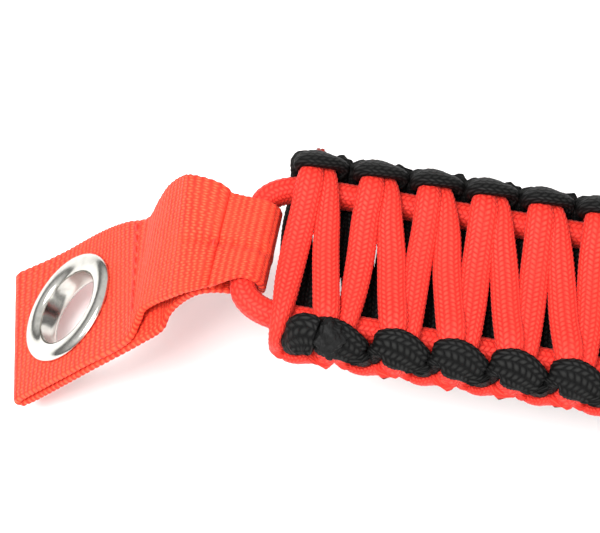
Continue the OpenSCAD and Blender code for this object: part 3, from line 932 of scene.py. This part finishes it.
def sew(node, body, normal, middle, lift=0.0, gather=1.0):
    """Replaces a node of straight stitches with arches of thread standing on the cloth.
    gather draws the row in across the strip where the cloth there is narrower."""
    merged = {}
    for part in loose_parts(frame["nodes"][node].data):
        merged.setdefault(tuple(np.round(part.mean(0) / SAME_STITCH).astype(int)), []).append(part)
    shape_points, faces = [], []
    around, along = 8, 9
    for parts in merged.values():
        part = np.concatenate(parts)
        part[:, 1] = middle[1] + (part[:, 1] - middle[1]) * gather
        spread = part - part.mean(0)
        direction = np.linalg.svd(spread, full_matrices=False)[2][0]
        centre = (part.max(0) + part.min(0)) / 2
        up = normal * (1.0 if (centre - middle) @ normal > 0 else -1.0)
        half = np.abs(spread @ direction).max()
        side = np.cross(direction, up)
        start = len(shape_points)
        for i in range(along):
            t = -1 + 2 * i / (along - 1)
            place = centre + direction * half * t + up * (lift - 0.05 * MM - STITCH_DIP * abs(t) ** 3)
            thick = THREAD_RADIUS * (1 - 0.25 * t * t)
            for j in range(around):
                a = math.tau * j / around
                swell = thick * (1 + 0.12 * math.cos(2 * a + 5 * t))
                shape_points.append(place + swell * (math.cos(a) * side + math.sin(a) * up))
        for i in range(along - 1):
            for j in range(around):
                k = (j + 1) % around
                a, b = start + i * around, start + (i + 1) * around
                faces.append((a + j, a + k, b + k, b + j))
        faces.append(tuple(start + j for j in range(around))[::-1])
        faces.append(tuple(start + (along - 1) * around + j for j in range(around)))
    mesh = bpy.data.meshes.new(node + "_thread")
    mesh.from_pydata([tuple(p) for p in shape_points], [], faces)
    mesh.polygons.foreach_set("use_smooth", np.ones(len(faces), dtype=bool))
    mesh.materials.append(thread)
    made = bpy.data.objects.new(node + "_thread", mesh)
    bpy.context.collection.objects.link(made)
    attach(made, body)
    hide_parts(node)
    print(node, "has", len(merged), "pieces of thread")


UP = np.array([0.0, 0.0, 1.0])
sew("eyelet_tab_cross_stitching", "eyelet_tab", UP, near_bight, 0.6 * MM)
sew("eyelet_tab_edge_stitching", "eyelet_tab", panel_normal, bend, 0.0, gather=0.8)

# %% [markdown]
# ## The windlass
# A narrow tape goes round the far cross run of the core cord and round the rod, with its middle sewn
# flat. The rod has a rubber cap on each end and a collar each side of the tape.

# %% Toggle tape
rod_middle = np.array(joints["windlass_roll"]["pos_m"])
tape_run = rod_middle - far_bight
tape_length = np.linalg.norm(tape_run)
tape_x = unit(tape_run)
tape_up = np.array([-tape_x[2], 0, tape_x[0]])
TAPE_HALF = 5 * MM


def on_tape(x, z, y):
    return far_bight + x * tape_x + z * tape_up + np.array([0, y, 0])


def tape_path():
    """Round the core cord, along to the rod, round it and back, seen from the side."""
    near_r, rod_r, layer = 2.85 * MM, 4.75 * MM, 0.66 * MM
    path = [(tape_length * 0.42, layer), (6.5 * MM, layer), (4 * MM, 1.3 * MM)]
    path += [(near_r * math.cos(a), near_r * math.sin(a))
             for a in np.radians([60, 90, 130, 180, 230, 270, 300])]
    path += [(4 * MM, -1.3 * MM), (6.5 * MM, -layer), (tape_length - 8 * MM, -layer),
             (tape_length - 5.6 * MM, -1.4 * MM)]
    path += [(tape_length + rod_r * math.cos(a), rod_r * math.sin(a))
             for a in np.radians([-130, -90, -45, 0, 45, 90, 130])]
    path += [(tape_length - 5.6 * MM, 1.4 * MM), (tape_length - 8 * MM, layer), (tape_length * 0.47, layer)]
    return path


tape = webbing_strip("toggle_tape_strip", [on_tape(x, z, -TAPE_HALF) for x, z in tape_path()],
                     [on_tape(x, z, TAPE_HALF) for x, z in tape_path()], 0.58 * MM, red_webbing, across=20)
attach(tape, "toggle_tab")
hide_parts("toggle_tape")
sew("toggle_tape_stitching", "toggle_tab", tape_up, (far_bight + rod_middle) / 2)

# %% Rod, caps and collars
rod_low, rod_high = (np.array(corner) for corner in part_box("windlass_rod"))
rod_half = (rod_high[1] - rod_low[1]) / 2 / MM


def rod_profile():
    """Fine turned grooves near each end give the fingers a grip."""
    side = [(0.01, -rod_half), (3.6, -rod_half), (4, -rod_half + 0.4)]
    groove_span = np.arange(-rod_half + 10, -14, 1.4)
    for start in groove_span:
        side += [(4, start), (3.8, start + 0.25), (3.8, start + 0.45), (4, start + 0.7)]
    return side + [(radius, -height) for radius, height in side[::-1]]


rod = turned("windlass_rod_turned", rod_middle, (0, 1, 0), rod_profile(), dark_metal)
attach(rod, "windlass")
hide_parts("windlass_rod")


def cap_profile(length):
    """A closed tube with a rounded end and three low ribs, its mouth at height 0 and its floor inside."""
    inside = [(0.01, 3.2), (4.02, 3.2)]
    outside = [(4.02, 0.3), (4.6, 0), (5, 0.35)]
    for rib in range(3):
        start = 1.6 + 1.4 * rib
        outside += [(5, start), (4.72, start + 0.2), (4.72, start + 0.5), (5, start + 0.7)]
    dome = [(5 * math.cos(a) ** 0.7, length - 2 + 2 * math.sin(a))
            for a in np.linspace(0, math.pi / 2 - 0.03, 9)]
    return inside + outside + dome + [(0.01, length)]


for node in ("rod_cap_left", "rod_cap_right"):
    low, high = (np.array(corner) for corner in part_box(node))
    axis = unit(np.array([0, (low + high)[1] / 2 - rod_middle[1], 0]))
    mouth = rod_middle + axis * min(abs(low[1] - rod_middle[1]), abs(high[1] - rod_middle[1]))
    cap = turned(node + "_moulded", mouth, axis, cap_profile((high - low)[1] / MM), rubber)
    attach(cap, "windlass")
    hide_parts(node)

for node in ("rod_collar_left", "rod_collar_right"):
    low, high = (np.array(corner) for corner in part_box(node))
    half = (high - low)[1] / 2 / MM
    section = [(4.02, -half + 0.2), (4.3, -half), (5.1, -half), (5.5, -half + 0.5), (5.5, -0.4), (5.3, -0.2),
               (5.3, 0.2), (5.5, 0.4), (5.5, half - 0.5), (5.1, half), (4.3, half), (4.02, half - 0.2)]
    collar = turned(node + "_moulded", (low + high) / 2, (0, 1, 0), section, rubber, True)
    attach(collar, "windlass")
    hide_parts(node)

# %% [markdown]
# ## The keeper
# A band of webbing slides along the strap. A short sewn tunnel on top of it holds one bar of a
# nickel ring, which drops over the end of the windlass rod.

# %% Keeper band
band_low, band_high = (np.array(corner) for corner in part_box("keeper_band"))
band_middle = (band_low + band_high) / 2
band_half = (band_high - band_low) / 2


def band_path():
    """Round the strap as a rounded oblong, with its ends overlapping underneath."""
    corner = 4 * MM
    half_y, half_z = band_half[1] - 0.72 * MM, band_half[2] - 0.72 * MM
    path = [(-9 * MM, -half_z + 0.55 * MM), (0, -half_z + 0.55 * MM)]
    flat_y, flat_z = half_y - corner, half_z - corner
    for centre_y, centre_z, begin in ((flat_y, -flat_z, -90), (flat_y, flat_z, 0),
                                      (-flat_y, flat_z, 90), (-flat_y, -flat_z, 180)):
        for step in range(5):
            a = math.radians(begin + 22.5 * step)
            path.append((centre_y + corner * math.cos(a), centre_z + corner * math.sin(a)))
        if begin == 0:
            path.append((0, half_z + 0.15 * MM))
    return path + [(0, -half_z - 0.65 * MM), (9 * MM, -half_z - 0.65 * MM)]


band = webbing_strip("keeper_band_strip",
                     [band_middle + np.array([band_half[0], y, z]) for y, z in band_path()],
                     [band_middle + np.array([-band_half[0], y, z]) for y, z in band_path()],
                     0.55 * MM, red_webbing, across=36)
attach(band, "keeper")
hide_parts("keeper_band")
sew("keeper_stitching", "keeper", UP, band_middle, 0.05 * MM)

# %% Ring and its tunnel
ring_bar = np.array(joints["ring_flip"]["pos_m"])
ring_low, ring_high = (np.array(corner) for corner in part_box("keeper_ring"))
WIRE = (ring_high[2] - ring_low[2]) / 2


def ring_stations():
    """The middle of the ring's wire: an oblong with round corners, its weld in the hinge bar."""
    corner = 3 * MM
    middle = (ring_low + ring_high) / 2
    half_x = (ring_high[0] - ring_low[0]) / 2 - WIRE
    half_y = (ring_high[1] - ring_low[1]) / 2 - WIRE
    places = []
    for sign_x, sign_y, begin in ((1, 1, 0), (-1, 1, 90), (-1, -1, 180), (1, -1, 270)):
        for step in range(9):
            a = math.radians(begin + 11.25 * step)
            places.append((sign_x * (half_x - corner) + corner * math.cos(a),
                           sign_y * (half_y - corner) + corner * math.sin(a)))
    return np.array([[middle[0] + x, middle[1] + y, middle[2]] for x, y in places])


def wire_loop(name, places, radius, material, around=28):
    """A closed loop of round wire that lies level."""
    tangent = unit(np.roll(places, -1, 0) - np.roll(places, 1, 0))
    side = np.cross(tangent, UP)
    angle = np.linspace(0, math.tau, around, endpoint=False)
    points = places[:, None] + radius * (np.cos(angle)[None, :, None] * side[:, None]
                                         + np.sin(angle)[None, :, None] * UP[None, None])
    points = np.concatenate([points, points[:1]])
    uv = np.zeros((len(points), around + 1, 2))
    uv[..., 0] = np.arange(len(points))[:, None]
    uv[..., 1] = np.arange(around + 1)[None]
    made = grid_object(name, points, uv, True, material, caps=False)
    weld(made)
    return made


ring = wire_loop("keeper_ring_wire", ring_stations(), WIRE, nickel)
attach(ring, "ring")
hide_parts("keeper_ring")

tunnel_low, tunnel_high = (np.array(corner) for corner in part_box("keeper_ring_tunnel"))
tunnel_half = (tunnel_high - tunnel_low)[1] / 2


def tunnel_path():
    """Flat on the band, up round the ring's bar and down to the band again."""
    radius = WIRE + 0.55 * MM
    base = tunnel_low[2] - ring_bar[2] + 0.45 * MM
    path = [(tunnel_high[0] - ring_bar[0], base), (3.0 * MM, base)]
    path += [(radius * math.cos(a), radius * math.sin(a))
             for a in np.radians([-50, -10, 30, 75, 120, 165, 210])]
    return path + [(-0.6 * MM, base + 0.1 * MM), (1.2 * MM, base - 0.1 * MM)]


tunnel = webbing_strip("keeper_tunnel_strip",
                       [ring_bar + np.array([x, tunnel_half, z]) for x, z in tunnel_path()],
                       [ring_bar + np.array([x, -tunnel_half, z]) for x, z in tunnel_path()],
                       0.42 * MM, red_webbing, across=24)
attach(tunnel, "keeper")
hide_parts("keeper_ring_tunnel")
sew("tunnel_stitching", "keeper", UP, band_middle, 0.0)

# %% [markdown]
# ## Cut and melted ends
# At the eyelet end the black cord is laid back along the near edge, and its end is melted into a
# wrinkled lump. The red cord ends outside the far edge, where the flame has left it dark amber. The
# ends at the windlass end are made the same way.


# %% Lumps
def lump(name, middle, directions, halves, material, seed):
    """A wrinkled ball: a sphere whose surface is pushed in and out by a few crossing waves."""
    local = np.random.default_rng(seed)
    rows, around = 36, 48
    lift = np.linspace(-math.pi / 2 + 0.02, math.pi / 2 - 0.02, rows)
    turn = np.linspace(0, math.tau, around, endpoint=False)
    ball = np.stack([np.sin(lift)[:, None] * np.ones(around)[None],
                     np.cos(lift)[:, None] * np.cos(turn)[None],
                     np.cos(lift)[:, None] * np.sin(turn)[None]], axis=-1)
    size = np.ones((rows, around))
    for strength, pace in ((0.07, 3.0), (0.06, 5.0), (0.05, 8.0), (0.035, 12.0)):
        for _ in range(3):
            wave = unit(local.normal(size=3)) * pace
            size += strength * (1 - 2 * np.abs(np.sin(ball @ wave + local.uniform(0, 6)))) * 0.6
    shaped = (ball * size[..., None] * np.array(halves)) @ np.array(directions)
    return grid_object(name, middle + shaped, np.zeros((rows, around + 1, 2)), True, material)


def end_lump(face, progress, edge, angle, distance):
    """Place and directions of a lump at a cord's end: along the strap, round the strand and outwards."""
    a = math.radians(angle)
    place = np.array(weave_point(progress, edge * (CORE_OFFSET + distance * MM * math.cos(a)),
                                 face * distance * MM * math.sin(a)))
    out = np.array([0, edge * math.cos(a), face * math.sin(a)])
    along = np.array([1.0, 0.0, 0.0])
    return place, [along, np.cross(out, along), out]


def sealed_pair(name, node, face, material, angle, distance, inset, halves):
    """The two melted ends of one cord, as a piece each: at the windlass end and at the eyelet end."""
    for progress, seed in ((1.5 * MM, 3), (WEAVE_LENGTH - inset, 5)):
        place, directions = end_lump(-face, progress, face, angle, distance)
        piece = lump(f"{name}_{seed}", place, directions, halves, material, seed)
        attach(piece, "strap")
        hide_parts(node)
        print(piece.name, "lies", round(progress / MM, 1), "mm from the windlass end of the weave")


sealed_pair("black_end", "back_cord_sealed_ends", -1, melted_black, 46, 6.2,
            5.3 * MM, (2.2 * MM, 3.0 * MM, 1.6 * MM))
sealed_pair("red_end", "front_cord_sealed_ends", 1, melted_red, 4, 6.3,
            1.6 * MM, (1.4 * MM, 1.6 * MM, 1.3 * MM))
